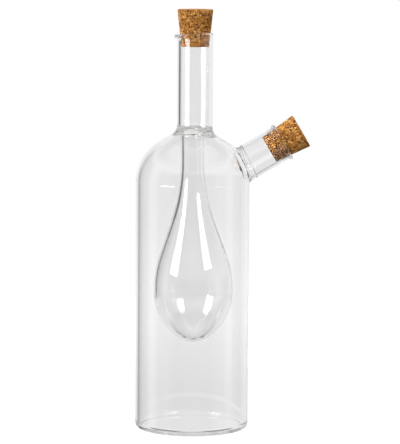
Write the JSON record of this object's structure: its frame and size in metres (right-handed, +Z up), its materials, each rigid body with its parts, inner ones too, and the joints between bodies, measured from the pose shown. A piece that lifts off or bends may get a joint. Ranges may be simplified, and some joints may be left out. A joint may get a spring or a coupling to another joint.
{
  "type": "dual oil and vinegar bottle",
  "caption": "Clear glass bottle for oil with a teardrop vessel for vinegar hanging inside it, a straight neck and a slanting side spout, each closed by a tapered cork.",
  "frame": {"origin": "the middle of the flat base, on the surface that the bottle stands on", "axes": "+Z up along the bottle, +X towards the side spout"},
  "size_m": [0.1072, 0.07, 0.259],
  "materials": {
    "glass": "clear colourless borosilicate, fire polished, glossy",
    "cork": "matte pressed cork granules"
  },
  "bodies": {
    "root": {"glass_bottle": "glass", "neck_cork": "cork", "spout_cork": "cork"}
  },
  "joints": []
}
